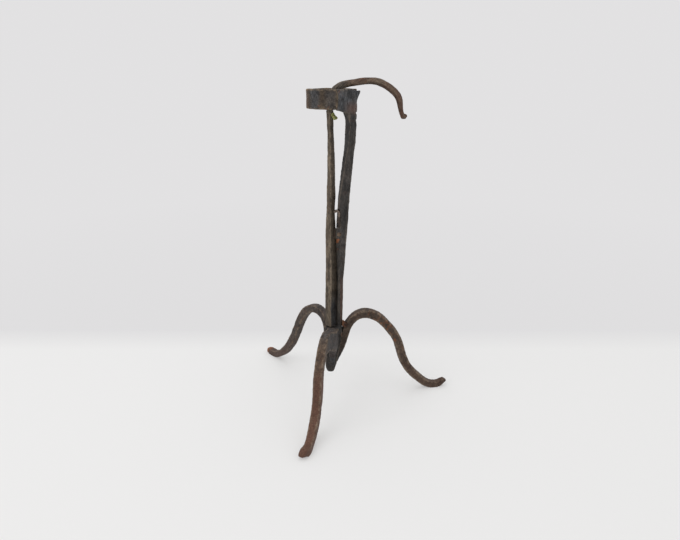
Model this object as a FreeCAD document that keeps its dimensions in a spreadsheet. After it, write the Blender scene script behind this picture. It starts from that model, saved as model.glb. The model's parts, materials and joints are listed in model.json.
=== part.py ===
"""Hand-forged iron candle stand with a spring-loaded gripping lever.

A square bar (the post) carries part of a round collar at its top and is drawn to a point at its foot,
where three bowed legs are forged on. A strap closes the collar. A second bar (the lever) stands in the
collar beside the post, turns on a rivet half-way up, and ends above the collar in a thumb hook. A small
leaf spring pushes the two bars apart, so that the lever presses the candle against the strap.

Millimetres. +Z is up, the floor is z = 0, and the origin is the middle of the floor area that the stand
covers. The bars and the hook lie in the plane of X and Z, with the hook towards +X. Heights are from the
floor; sideways sizes of the stem are from the stem's own axis, which stands at (stem_x, stem_y).
"""
import FreeCAD, Part
import math
import os

import Sketcher

V = FreeCAD.Vector
Z_AXIS = V(0, 0, 1)
Y_AXIS = V(0, 1, 0)

# ---------------------------------------------------------------- driving dimensions

DIMENSIONS = {
    "stem_x": (-15.16, "stem axis from the middle of the floor area"),
    "stem_y": (2.43, "stem axis from the middle of the floor area"),
    "bar_side": (5.7, "square bar that the legs are drawn out to"),
    "collar_top": (240.0, "height of the collar's rim"),
    "collar_height": (12.6, "width of the collar's strap"),
    "collar_radius": (17.4, "outside radius of the collar"),
    "collar_wall": (2.7, "thickness of the collar's strap"),
    "plate_height": (14.2, "height of the post's plate, which hangs a little below the strap"),
    "collar_x": (-0.7, "collar's centre from the stem axis"),
    "collar_y": (2.0, "collar's centre from the stem axis"),
    "rim_wear": (0.7, "depth worn off the rim under the hook arm"),
    "rim_wear_width": (6.4, "length of the worn place on the rim, front to back"),
    "rim_wear_inside": (8.0, "reach of the worn place inside the collar's outer face"),
    "rim_wear_outside": (4.0, "reach of the worn place beyond it, across the ear"),
    "rim_room": (1.0, "room above the rim that the cut for its wear takes in"),
    "seam_front": (-78.0, "angle of the front seam between plate and strap"),
    "seam_back": (6.0, "angle of the back seam between plate and strap"),
    "plate_turn": (53.0, "angle that the post's top is turned by to face the collar's wall"),
    "flare_width": (9.0, "top of the post where it spreads into the plate, along the collar's wall"),
    "flare_depth": (2.2, "the same, through the collar's wall"),
    "flare_inset": (2.0, "middle of that section inside the collar's outside"),
    "flare_rise": (1.0, "that section's height above the plate's lower edge"),
    "ear_reach": (2.5, "point of the plate's ear beyond the collar"),
    "ear_height": (10.0, "height of the ear's root below the rim"),
    "ear_root": (1.2, "depth that the ear is let into the plate"),
    "ear_lip": (0.8, "blunt end of the ear"),
    "ear_step": (2.0, "short upright part at the foot of the ear's edge"),
    "ear_thickness": (2.4, "ear, front to back"),
    "pivot_x": (4.4, "pivot from the stem axis"),
    "pivot_height": (138.2, "height of the pivot"),
    "pin_radius": (1.2, "pivot rivet's shank"),
    "pin_clearance": (0.05, "running clearance round the pivot rivet"),
    "head_radius": (1.6, "pivot rivet's domed head"),
    "head_rise": (0.9, "height of the domed head"),
    "tail_room_face": (4.75, "flat on the left leg's root, where the lever's tail swings"),
    "tail_room_low": (60.5, "lower end of that flat"),
    "lug_thickness": (2.2, "lever's lug, front to back"),
    "lug_gap": (0.2, "play between the lug and each cheek of the post's slot"),
    "lug_end_radius": (2.7, "round end of the lug"),
    "lug_root_x": (-2.4, "root of the lug in the lever, from the stem axis"),
    "lug_root_half": (4.6, "half the height of the lug's root"),
    "slot_room": (0.5, "room past the round end of the lug"),
    "slot_half_height": (4.6, "half the height of the slot that the lug turns in"),
    "arm_radius": (2.05, "hook arm"),
    "ball_radius": (1.6, "knob at the tip of the hook"),
    "spring_thickness": (1.3, "leaf spring strip"),
    "spring_width": (3.4, "leaf spring strip, front to back"),
    "spring_forward": (2.4, "middle of the strip in front of the stem axis"),
    "spring_face": (5.0, "post's face that the spring lies on, from the stem axis"),
    "spring_low": (144.2, "lower end of the leaf spring"),
    "spring_bend": (154.2, "height of the centre of the spring's bend"),
    "spring_bend_radius": (2.3, "outside of the spring's bend"),
    "spring_end": (142.0, "angle at which the spring's bend ends"),
    "notch_play": (0.6, "room above and below the spring in its notch"),
    "notch_side": (0.2, "room behind the spring in its notch"),
    "notch_width": (8.0, "cut for the notch, front to back"),
    "spring_rivet_radius": (0.9, "shank of the spring's rivet"),
    "spring_rivet_forward": (1.7, "the spring's rivet in front of the stem axis"),
    "spring_rivet_length": (4.5, "shank of the spring's rivet"),
    "spring_head_radius": (1.15, "head of the spring's rivet"),
    "spring_head_rise": (0.6, "head of the spring's rivet"),
    "spring_rivet_height": (147.4, "height of the spring's rivet"),
    "leg_rivet_radius": (1.4, "shank of the rivet in the right leg's root"),
    "leg_rivet_length": (9.0, "shank of that rivet"),
    "leg_rivet_x": (9.2, "head of that rivet, from the stem axis"),
    "leg_rivet_y": (-2.6, "head of that rivet, from the stem axis"),
    "leg_rivet_height": (64.5, "height of that rivet"),
    "leg_rivet_turn": (136.2, "direction that the rivet is driven in, from +X"),
    "leg_head_radius": (2.6, "head of that rivet"),
    "leg_head_rise": (1.2, "head of that rivet"),
    "drip_x": (0.6, "tallow drip, from the stem axis"),
    "drip_y": (-0.9, "tallow drip, from the stem axis"),
    "drip_height": (222.0, "middle of the tallow drip"),
    "drip_radius": (1.6, "tallow drip on the lever"),
    "drip_half_length": (2.7, "tallow drip on the lever, up and down"),
    "leg_front_turn": (-103.5, "direction of the front leg, from +X"),
    "leg_left_turn": (129.6, "direction of the left leg, from +X"),
    "leg_right_turn": (9.3, "direction of the right leg, from +X"),
}

# Rectangular sections of the forged bars, from the bottom up: height, x, y, width, depth, turn.
POST_FOOT = {
    "point": (22.2, -2.6, 0.0, 5.0, 4.4, 0.0),
    "nose": (26.0, -2.6, 0.0, 7.8, 6.0, 0.0),
    "toe": (31.0, -2.2, 0.0, 8.6, 6.8, 0.0),
    "calf": (40.0, -1.0, 0.0, 9.6, 7.6, 0.0),
    "waist": (52.0, -0.4, 0.0, 11.8, 8.2, 0.0),
    "block": (58.0, 0.3, 0.0, 13.2, 8.4, 0.0),
    "shoulder": (62.6, 0.3, 0.0, 12.8, 8.0, 0.0),
}
POST_BAR = {
    "base": (60.0, 4.2, 0.0, 3.6, 5.4, 16.0),
    "shin": (104.0, 4.9, 0.0, 4.1, 5.6, 16.0),
    "knee": (122.0, 5.5, 0.0, 6.0, 5.9, 10.0),
    "eye": (138.2, 6.1, 0.0, 7.6, 6.2, 0.0),
    "neck": (150.0, 6.7, 0.0, 7.6, 6.1, 0.0),
    "rise": (166.0, 7.7, -1.2, 7.2, 5.4, 8.0),
    "lean": (186.0, 9.7, -4.4, 6.1, 4.7, 23.0),
    "reach": (204.0, 11.9, -7.1, 6.2, 4.6, 40.0),
    "top": (217.0, 12.8, -8.0, 7.1, 4.8, 51.0),
}
LEVER_BAR = {
    "tail": (63.7, -2.2, 0.0, 6.0, 6.0, 45.0),
    "shank": (82.4, -2.1, 0.0, 6.0, 6.0, 45.0),
    "lower": (110.0, -1.6, 0.0, 5.9, 5.9, 45.0),
    "eye": (138.2, -1.9, 0.0, 5.3, 5.3, 45.0),
    "middle": (160.0, -1.7, 0.0, 4.2, 4.2, 45.0),
    "upper": (185.0, -1.5, 0.3, 3.7, 3.7, 45.0),
    "waist": (210.0, -1.6, 0.8, 3.1, 3.1, 45.0),
    "throat": (226.0, -2.0, 1.0, 3.8, 3.8, 45.0),
}
BARS = {"foot": POST_FOOT, "post": POST_BAR, "lever": LEVER_BAR}
SECTION_SIZES = ("height", "x", "y", "width", "depth", "turn")

# Centre lines as (distance out, height). Legs run from the root at the stem to the turned-up toe.
LEG_LINES = {
    "front": [(5, 30), (6, 40), (7.8, 50), (13.5, 60), (22.5, 64), (32, 60.5), (40, 51.5), (45.2, 41),
              (47.6, 30), (51.5, 19.5), (58.5, 11), (67, 5), (76, 2.72), (83, 4.8)],
    "left": [(4.6, 31), (5.2, 43), (6.2, 55), (9.5, 65.5), (18.5, 70.3), (31.5, 66.5), (42.5, 54.6),
             (51.3, 38.3), (61, 22.7), (72.5, 10.6), (82, 4.5), (89.5, 2.72), (97.5, 4.6)],
    "right": [(0.8, 31), (3.2, 38.5), (5.9, 46.5), (8.7, 55), (13, 65.6), (23, 72), (34, 68.9), (44, 59.3),
              (51.2, 48.5), (55.4, 36), (60, 23.8), (71.5, 10.2), (80, 3.9), (86.5, 2.72), (94.5, 5.8)],
}
# The front leg's bow is filled at its root: corners on the leg's centre line, then the free edge's crown.
WEB_CORNERS = [(4.4, 39), (4.4, 61.8), (13.5, 62.6), (22.5, 64), (32, 60.5), (37.5, 55)]
WEB_CROWN = (22.5, 52.5)
ARM_LINE = [(-2.1, 224), (-1.3, 232), (1.2, 239), (6.5, 242.4), (15.7, 244.3), (25.6, 245.35), (33, 243.9),
            (40.1, 239.8), (44.6, 235.2), (46.3, 229.3), (46.9, 224.8), (48.4, 222.3), (50, 222.2)]


def build_sheet():
    """Writes every driving dimension to the sheet, one alias a row."""
    sheet = doc.addObject("Spreadsheet::Sheet", "dimensions")
    rows = dict(DIMENSIONS)
    for bar, stations in BARS.items():
        for station, sizes in stations.items():
            for size, value in zip(SECTION_SIZES, sizes):
                rows[f"{bar}_{station}_{size}"] = (value, f"{bar} bar at its {station}: {size}")
    for row, (name, (value, note)) in enumerate(rows.items(), start=1):
        sheet.set(f"A{row}", name)
        sheet.set(f"B{row}", str(value))
        sheet.setAlias(f"B{row}", name)
        sheet.set(f"C{row}", note)
    doc.recompute()
    return sheet


def size(name):
    """A dimension's value, read back from the sheet."""
    return float(getattr(sheet, name))


# ---------------------------------------------------------------- helpers

def new_body(name, turn=None):
    """A body that stands on the stem axis, turned about it by the named angle."""
    body = doc.addObject("PartDesign::Body", name)
    body.Placement = FreeCAD.Placement(V(0, 0, 0), FreeCAD.Rotation(Z_AXIS, 1))
    body.setExpression("Placement.Base.x", "dimensions.stem_x")
    body.setExpression("Placement.Base.y", "dimensions.stem_y")
    body.setExpression("Placement.Rotation.Angle", f"dimensions.{turn}" if turn else "0")
    return body


def new_sketch(body, name, role, offset=None, bound=None):
    """A sketch on one of the body's origin planes, moved by offset, or by the sheet's values in bound."""
    sketch = body.newObject("Sketcher::SketchObject", name)
    plane = next(p for p in body.Origin.OriginFeatures if p.Role == role)
    sketch.AttachmentSupport = (plane, [""])
    sketch.MapMode = "FlatFace"
    if offset:
        sketch.AttachmentOffset = offset
    for field, formula in (bound or {}).items():
        sketch.setExpression(f"AttachmentOffset.{field}", formula)
    return sketch


def join_ends(sketch, count):
    """Ties each of the first count edges to the next, and the last to the first."""
    for edge in range(count):
        sketch.addConstraint(Sketcher.Constraint("Coincident", edge, 2, (edge + 1) % count, 1))


def bind(sketch, constraint, formula):
    """Adds a dimension to the sketch and binds it to a formula of the sheet."""
    index = sketch.addConstraint(constraint)
    sketch.setExpression(f"Constraints[{index}]", formula)


def rectangle(sketch, width, depth):
    """A rectangle about the sketch's origin; width and depth are formulas of the sheet."""
    corners = [V(-2, -1, 0), V(2, -1, 0), V(2, 1, 0), V(-2, 1, 0)]
    for corner, following in zip(corners, corners[1:] + corners[:1]):
        sketch.addGeometry(Part.LineSegment(corner, following))
    join_ends(sketch, 4)
    for edge in (0, 2):
        sketch.addConstraint(Sketcher.Constraint("Horizontal", edge))
    for edge in (1, 3):
        sketch.addConstraint(Sketcher.Constraint("Vertical", edge))
    sketch.addConstraint(Sketcher.Constraint("Symmetric", 0, 1, 1, 2, -1, 1))
    bind(sketch, Sketcher.Constraint("DistanceX", 0, 1, 0, 2, 4.0), width)
    bind(sketch, Sketcher.Constraint("DistanceY", 1, 1, 1, 2, 2.0), depth)


def outline(sketch, edges):
    """A closed outline of lines and arcs that already meet."""
    for edge in edges:
        sketch.addGeometry(edge)
    join_ends(sketch, len(edges))


def arc(centre, radius, start, end):
    """A counter-clockwise arc, with its angles in degrees."""
    circle = Part.Circle(V(centre[0], centre[1], 0), Z_AXIS, radius)
    return Part.ArcOfCircle(circle, math.radians(start), math.radians(end))


def line(start, end):
    return Part.LineSegment(V(start[0], start[1], 0), V(end[0], end[1], 0))


def bar_section(body, bar, station):
    """The rectangular section of a bar at one of its stations."""
    at = f"dimensions.{bar}_{station}_"
    bound = {"Base.x": at + "x", "Base.y": at + "y", "Base.z": at + "height", "Rotation.Angle": at + "turn"}
    offset = FreeCAD.Placement(V(0, 0, 0), FreeCAD.Rotation(Z_AXIS, 1))
    sketch = new_sketch(body, f"{body.Name}_{bar}_{station}", "XY_Plane", offset, bound)
    rectangle(sketch, at + "width", at + "depth")
    return sketch


def loft(body, name, sections):
    feature = body.newObject("PartDesign::AdditiveLoft", name)
    feature.Profile = sections[0]
    feature.Sections = sections[1:]
    feature.Ruled = True
    doc.recompute()
    return feature


def forged_bar(body, bar):
    """Draws a bar out through all its stations."""
    return loft(body, f"{bar}_bar", [bar_section(body, bar, station) for station in BARS[bar]])


def pipe(body, name, points, draw_profile):
    """Sweeps a profile along a smooth line in the body's plane of X and Z."""
    spine = new_sketch(body, f"{name}_line", "XZ_Plane")
    curve = Part.BSplineCurve()
    curve.interpolate([V(out, height, 0) for out, height in points])
    spine.addGeometry(curve)
    start, tangent = curve.value(0.0), curve.tangent(0.0)[0]
    tilt = math.degrees(math.atan2(tangent.x, tangent.y))
    seat = FreeCAD.Placement(V(start.x, 0, start.y), FreeCAD.Rotation(Y_AXIS, tilt))
    profile = new_sketch(body, f"{name}_section", "XY_Plane", seat)
    draw_profile(profile)
    feature = body.newObject("PartDesign::AdditivePipe", name)
    feature.Profile = profile
    feature.Spine = (spine, ["Edge1"])
    doc.recompute()
    return feature


def cut(name, base, *tools):
    """The base with the tools taken out of it, one after another."""
    for index, tool in enumerate(tools):
        result = doc.addObject("Part::Cut", f"{name}_cut_{index}")
        result.Base = base
        result.Tool = tool
        base = result
    doc.recompute()
    return base


def rivet(name, placement, radius, length, head_radius, rise, tail_radius=0.0):
    """A rivet along its own Z axis: shank from 0, domed head below 0, domed tail if it has one."""
    body = doc.addObject("PartDesign::Body", name)
    body.Placement = placement
    sketch = new_sketch(body, f"{name}_half", "XZ_Plane")

    def dome(reach, height):
        sphere = (reach ** 2 + height ** 2) / (2 * height)
        return sphere, math.degrees(math.asin(reach / sphere))

    sphere, half = dome(head_radius, rise)
    edges = [arc((0, sphere - rise), sphere, 270, 270 + half),
             line((head_radius, 0), (radius, 0)),
             line((radius, 0), (radius, length))]
    top = length
    if tail_radius:
        sphere, half = dome(tail_radius, rise)
        edges.append(line((radius, length), (tail_radius, length)))
        edges.append(arc((0, length + rise - sphere), sphere, 90 - half, 90))
        top = length + rise
    else:
        edges.append(line((radius, length), (0, length)))
    edges.append(line((0, top), (0, -rise)))
    for edge in edges:
        sketch.addGeometry(edge)
    turned = body.newObject("PartDesign::Revolution", f"{name}_turned")
    turned.Profile = sketch
    turned.ReferenceAxis = (sketch, ["V_Axis"])
    turned.Angle = 360
    doc.recompute()
    return body


def shank(name, placement, radius, length):
    """A cylinder that opens the way for a rivet's shank."""
    cylinder = doc.addObject("Part::Cylinder", name)
    cylinder.Radius = radius
    cylinder.Height = length
    cylinder.Placement = placement
    return cylinder


def along(start, direction):
    """A placement at a point of the stem's own frame, with +Z turned to the direction."""
    origin = V(size("stem_x"), size("stem_y"), 0)
    return FreeCAD.Placement(origin + start, FreeCAD.Rotation(Z_AXIS, direction))


# ---------------------------------------------------------------- stem

def band(body, name, start, end, low, tall):
    """A curved wall of the collar between two angles; low and tall are formulas of the sheet."""
    bound = {"Base.x": "dimensions.collar_x", "Base.y": "dimensions.collar_y", "Base.z": low}
    sketch = new_sketch(body, f"{name}_plan", "XY_Plane", FreeCAD.Placement(), bound)
    outer = size("collar_radius")
    inner = outer - size("collar_wall")

    def at(radius, angle):
        return radius * math.cos(math.radians(angle)), radius * math.sin(math.radians(angle))

    edges = [arc((0, 0), outer, start, end),
             line(at(outer, end), at(inner, end)),
             arc((0, 0), inner, start, end),
             line(at(inner, start), at(outer, start))]
    for edge in edges:
        sketch.addGeometry(edge)
    sketch.addConstraint(Sketcher.Constraint("Coincident", 0, 2, 1, 1))
    sketch.addConstraint(Sketcher.Constraint("Coincident", 1, 2, 2, 2))
    sketch.addConstraint(Sketcher.Constraint("Coincident", 2, 1, 3, 1))
    sketch.addConstraint(Sketcher.Constraint("Coincident", 3, 2, 0, 1))
    for edge in (0, 2):
        sketch.addConstraint(Sketcher.Constraint("Coincident", edge, 3, -1, 1))
    bind(sketch, Sketcher.Constraint("Radius", 0, outer), "dimensions.collar_radius")
    bind(sketch, Sketcher.Constraint("Radius", 2, inner),
         "dimensions.collar_radius - dimensions.collar_wall")
    pad = body.newObject("PartDesign::Pad", name)
    pad.Profile = sketch
    pad.setExpression("Length", tall)
    doc.recompute()
    return pad


def build_post():
    """The square bar: foot block, slot for the pivot, and its top spread into a quarter of the collar."""
    body = new_body("post_body")
    forged_bar(body, "foot")
    forged_bar(body, "post")
    flare_root = bar_section(body, "post", "top")
    turn = math.radians(size("plate_turn") - 90)
    reach = size("collar_radius") - size("flare_inset")
    flare_bound = {
        "Base.x": f"dimensions.collar_x + {reach * math.cos(turn):.3f}",
        "Base.y": f"dimensions.collar_y + {reach * math.sin(turn):.3f}",
        "Base.z": "dimensions.collar_top - dimensions.plate_height + dimensions.flare_rise",
        "Rotation.Angle": "dimensions.plate_turn",
    }
    seat = FreeCAD.Placement(V(0, 0, 0), FreeCAD.Rotation(Z_AXIS, 1))
    flare_top = new_sketch(body, "post_flare_top", "XY_Plane", seat, flare_bound)
    rectangle(flare_top, "dimensions.flare_width", "dimensions.flare_depth")
    loft(body, "post_flare", [flare_root, flare_top])
    band(body, "post_plate", size("seam_front"), size("seam_back"),
         "dimensions.collar_top - dimensions.plate_height", "dimensions.plate_height")
    build_ear(body)
    build_spring_notch(body)
    build_pivot_slot(body)
    build_rim_wear(body)
    return body


def polygon(corners):
    """The sides of a closed outline, from corner to corner."""
    return [line(start, end) for start, end in zip(corners, corners[1:] + corners[:1])]


def block(left, low, right, high):
    """The four sides of an upright rectangle."""
    return polygon([(left, low), (right, low), (right, high), (left, high)])


def pocket(body, name, edges, wide, forward="0 mm"):
    """Cuts an upright outline out of the body; the cut's middle is that far in front of the stem's plane."""
    sketch = new_sketch(body, f"{name}_side", "XZ_Plane", None, {"Base.z": forward})
    outline(sketch, edges)
    feature = body.newObject("PartDesign::Pocket", name)
    feature.Profile = sketch
    feature.Midplane = True
    feature.setExpression("Length", wide)
    doc.recompute()


def build_ear(body):
    """The upper back corner of the plate, drawn out to a point."""
    wall = size("collar_x") + size("collar_radius")
    top = size("collar_top")
    inner, tip = wall - size("ear_root"), wall + size("ear_reach")
    lip, foot = size("ear_lip"), top - size("ear_height")
    corners = [(inner, foot), (wall, foot + size("ear_step")), (tip, top - lip), (tip - lip, top),
               (inner, top)]
    sketch = new_sketch(body, "post_ear_side", "XZ_Plane")
    outline(sketch, polygon(corners))
    ear = body.newObject("PartDesign::Pad", "post_ear")
    ear.Profile = sketch
    ear.setExpression("Length", "dimensions.ear_thickness")
    doc.recompute()


def build_spring_notch(body):
    """A step in the front left corner of the post that the leaf spring is let into."""
    face, play = size("spring_face"), size("notch_play")
    high = size("spring_bend") + size("spring_bend_radius") + play
    low = size("spring_low") - play
    room = "(dimensions.notch_width - dimensions.spring_width) / 2 - dimensions.notch_side"
    pocket(body, "post_notch", block(0, low, face, high), "dimensions.notch_width",
           f"dimensions.spring_forward + {room}")


def build_pivot_slot(body):
    """The slot that the lever's lug turns in, open to the lever's side, between two cheeks."""
    pivot_x, pivot_height = size("pivot_x"), size("pivot_height")
    half = size("slot_half_height")
    end = pivot_x + size("lug_end_radius") + size("slot_room")
    pocket(body, "post_slot", block(0, pivot_height - half, end, pivot_height + half),
           "dimensions.lug_thickness + 2 * dimensions.lug_gap")


def build_rim_wear(body):
    """The rim is worn down a little where the hook arm comes to rest on it."""
    wall = size("collar_x") + size("collar_radius")
    left, right = wall - size("rim_wear_inside"), wall + size("rim_wear_outside")
    low, high = size("collar_top") - size("rim_wear"), size("collar_top") + size("rim_room")
    pocket(body, "post_rim_wear", block(left, low, right, high), "dimensions.rim_wear_width")


def build_strap():
    body = new_body("strap_body")
    band(body, "strap_band", size("seam_back"), size("seam_front") + 360,
         "dimensions.collar_top - dimensions.collar_height", "dimensions.collar_height")
    return body


# ---------------------------------------------------------------- lever and spring

def build_lever():
    """The gripping lever: a square bar set edge-on, a lug for the pivot, and the hook arm with its knob."""
    body = new_body("lever_body")
    forged_bar(body, "lever")

    def round_section(sketch):
        sketch.addGeometry(Part.Circle(V(0, 0, 0), Z_AXIS, size("arm_radius")))
        bind(sketch, Sketcher.Constraint("Radius", 0, size("arm_radius")), "dimensions.arm_radius")

    pipe(body, "lever_arm", ARM_LINE, round_section)
    knob = body.newObject("PartDesign::AdditiveSphere", "lever_knob")
    knob.setExpression("Radius", "dimensions.ball_radius")
    tip = ARM_LINE[-1]
    knob.AttachmentOffset = FreeCAD.Placement(V(tip[0], 0, tip[1]), FreeCAD.Rotation())
    plane = next(p for p in body.Origin.OriginFeatures if p.Role == "XY_Plane")
    knob.AttachmentSupport = (plane, [""])
    knob.MapMode = "FlatFace"
    doc.recompute()
    build_lug(body)
    return body


def build_lug(body):
    """The lug goes into the post's slot and narrows to a round end about the pivot."""
    pivot = size("pivot_x"), size("pivot_height")
    radius = size("lug_end_radius")
    root_x, root_half = size("lug_root_x"), size("lug_root_half")
    slope = math.atan2(root_half - radius, pivot[0] - root_x)
    upper = (pivot[0] + radius * math.sin(slope), pivot[1] + radius * math.cos(slope))
    lower = (upper[0], pivot[1] - radius * math.cos(slope))
    sketch = new_sketch(body, "lever_lug_face", "XZ_Plane")
    outline(sketch, [line((root_x, pivot[1] + root_half), (root_x, pivot[1] - root_half)),
                     line((root_x, pivot[1] - root_half), lower),
                     arc(pivot, radius, math.degrees(slope) - 90, 90 - math.degrees(slope)),
                     line(upper, (root_x, pivot[1] + root_half))])
    lug = body.newObject("PartDesign::Pad", "lever_lug")
    lug.Profile = sketch
    lug.Midplane = True
    lug.setExpression("Length", "dimensions.lug_thickness")
    doc.recompute()


def build_spring():
    """A bent strip: a straight foot on the post and a bend that reaches over to the lever."""
    body = new_body("spring_body")
    face, low, bend = size("spring_face"), size("spring_low"), size("spring_bend")
    outer = size("spring_bend_radius")
    inner = outer - size("spring_thickness")
    centre = (face - outer, bend)
    end = size("spring_end")

    def at(radius):
        return centre[0] + radius * math.cos(math.radians(end)), bend + radius * math.sin(math.radians(end))

    sketch = new_sketch(body, "spring_side", "XZ_Plane", None, {"Base.z": "dimensions.spring_forward"})
    edges = [line((face, low), (face, bend)), arc(centre, outer, 0, end), line(at(outer), at(inner)),
             arc(centre, inner, 0, end), line((centre[0] + inner, bend), (centre[0] + inner, low)),
             line((centre[0] + inner, low), (face, low))]
    for edge in edges:
        sketch.addGeometry(edge)
    strip = body.newObject("PartDesign::Pad", "spring_strip")
    strip.Profile = sketch
    strip.Midplane = True
    strip.setExpression("Length", "dimensions.spring_width")
    doc.recompute()
    return body


# ---------------------------------------------------------------- legs

def build_leg(side):
    body = new_body(f"leg_{side}_body", f"leg_{side}_turn")
    pipe(body, f"leg_{side}_bar", LEG_LINES[side],
         lambda sketch: rectangle(sketch, "dimensions.bar_side", "dimensions.bar_side"))
    return body


def build_web(body):
    """The forged filling in the crook of the front leg's bow."""
    corners = [V(out, height, 0) for out, height in WEB_CORNERS]
    edges = [Part.LineSegment(start, end) for start, end in zip(corners, corners[1:])]
    edges.append(Part.Arc(corners[-1], V(WEB_CROWN[0], WEB_CROWN[1], 0), corners[0]))
    sketch = new_sketch(body, "leg_front_web_side", "XZ_Plane")
    for edge in edges:
        sketch.addGeometry(edge)
    web = body.newObject("PartDesign::Pad", "leg_front_web")
    web.Profile = sketch
    web.Midplane = True
    web.setExpression("Length", "dimensions.bar_side")
    doc.recompute()


def build_tail_room():
    """The space that the lever's tail swings through beside the post."""
    left, front, wide, tall = -14, -6, 14.5, 30
    face, low = size("tail_room_face"), size("tail_room_low")
    room = doc.addObject("Part::Box", "tail_room")
    room.Length = wide
    room.Width = face - front
    room.Height = tall
    room.Placement = along(V(left, front, low), Z_AXIS)
    return room


def build_floor():
    """Everything under the floor, which the feet are worn down to."""
    wide, deep = 400, 20
    floor = doc.addObject("Part::Box", "floor")
    floor.Length = floor.Width = wide
    floor.Height = deep
    floor.Placement = FreeCAD.Placement(V(-wide / 2, -wide / 2, -deep), FreeCAD.Rotation())
    return floor


# ---------------------------------------------------------------- assembly

doc = FreeCAD.newDocument("candle_stand")
sheet = build_sheet()

post_body = build_post()
strap = build_strap()
lever_body = build_lever()
spring_body = build_spring()
leg_bodies = {side: build_leg(side) for side in LEG_LINES}
build_web(leg_bodies["front"])
tail_room = build_tail_room()
floor = build_floor()

# Pivot: the rivet lies front to back through the post's two cheeks and the lever's lug.
post_depth = POST_BAR["eye"][SECTION_SIZES.index("depth")]
pivot_seat = along(V(size("pivot_x"), -post_depth / 2, size("pivot_height")), Y_AXIS)
pivot_rivet = rivet("pivot_rivet_body", pivot_seat, size("pin_radius"), post_depth,
                    size("head_radius"), size("head_rise"), size("head_radius"))
pivot_hole = shank("pivot_hole", pivot_seat, size("pin_radius"), post_depth)
lug_hole = shank("lug_hole", pivot_seat, size("pin_radius") + size("pin_clearance"), post_depth)

# The spring's rivet goes through the strip into the post.
spring_out = size("spring_face") - size("spring_thickness")
spring_seat = along(V(spring_out, -size("spring_rivet_forward"), size("spring_rivet_height")), V(1, 0, 0))
spring_rivet = rivet("spring_rivet_body", spring_seat, size("spring_rivet_radius"),
                     size("spring_rivet_length"), size("spring_head_radius"), size("spring_head_rise"))
spring_hole = shank("spring_hole", spring_seat, size("spring_rivet_radius"), size("spring_rivet_length"))

# The leg rivet is driven from the front right through the root of the right leg into the foot block.
drive = math.radians(size("leg_rivet_turn"))
leg_seat = along(V(size("leg_rivet_x"), size("leg_rivet_y"), size("leg_rivet_height")),
                 V(math.cos(drive), math.sin(drive), 0))
leg_rivet = rivet("leg_rivet_body", leg_seat, size("leg_rivet_radius"), size("leg_rivet_length"),
                  size("leg_head_radius"), size("leg_head_rise"))
leg_hole = shank("leg_hole", leg_seat, size("leg_rivet_radius"), size("leg_rivet_length"))

# An old drip of tallow stands on the side of the lever, just under the collar.
drip = doc.addObject("Part::Ellipsoid", "drip")
drip.Radius1 = size("drip_half_length")
drip.Radius2 = size("drip_radius")
drip.Radius3 = size("drip_radius")
drip.Placement = along(V(size("drip_x"), size("drip_y"), size("drip_height")), Z_AXIS)

post = cut("post", post_body, pivot_hole, spring_hole, leg_hole)
lever = cut("lever", lever_body, lug_hole)
leaf_spring = cut("leaf_spring", spring_body, spring_hole)
leg_right = cut("leg_right", leg_bodies["right"], post_body, floor, leg_hole)
tallow_drip = cut("tallow_drip", drip, lever_body)
leg_left = cut("leg_left", leg_bodies["left"], post_body, leg_bodies["right"], tail_room, floor)
leg_front = cut("leg_front", leg_bodies["front"], post_body, leg_bodies["right"], leg_bodies["left"], floor)

NODES = {
    "post": post, "collar_strap": strap, "lever": lever, "pivot_rivet": pivot_rivet,
    "leaf_spring": leaf_spring, "spring_rivet": spring_rivet, "leg_front": leg_front,
    "leg_left": leg_left, "leg_right": leg_right, "leg_rivet": leg_rivet, "tallow_drip": tallow_drip,
}


def check_and_export():
    """Stops on any failed feature or bad solid, then writes one file a node."""
    doc.recompute()
    for item in doc.Objects:
        if any(state in ("Invalid", "Error") for state in item.State):
            raise RuntimeError(f"{item.Name} failed: {item.State}")
    os.makedirs("parts", exist_ok=True)
    for name, item in NODES.items():
        item.Label = name
        shape = item.Shape
        if shape.isNull() or not shape.isValid():
            raise RuntimeError(f"{name} has no valid shape")
        box = shape.BoundBox
        print(f"{name:14s} solids {len(shape.Solids)} volume {shape.Volume:9.1f}"
              f"  x {box.XMin:7.2f} {box.XMax:7.2f}  y {box.YMin:7.2f} {box.YMax:7.2f}"
              f"  z {box.ZMin:7.2f} {box.ZMax:7.2f}")
        shape.exportStep(f"parts/{name}.step")


check_and_export()
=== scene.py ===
"""Looks of the forged iron candle stand, built round its CAD frame and in the frame's own axes.

Every iron piece starts from its CAD solid. The mesh is rebuilt in small even cells, its corners are rounded
as a hammer and time leave them, and its surface is dented, pitted and scaled. Worn edges, hollows, rust,
and in some places painted light and shade, are stored on the points, and one family of iron materials reads
them.

Blender works in metres. Shapes and patina are given in millimetres, from the stem's axis and from the floor.
In step, fade and hump the numbers after a coordinate say where a change begins and where it is complete.
"""

import json
import math

import bpy
import numpy as np
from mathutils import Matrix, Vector, noise

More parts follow.
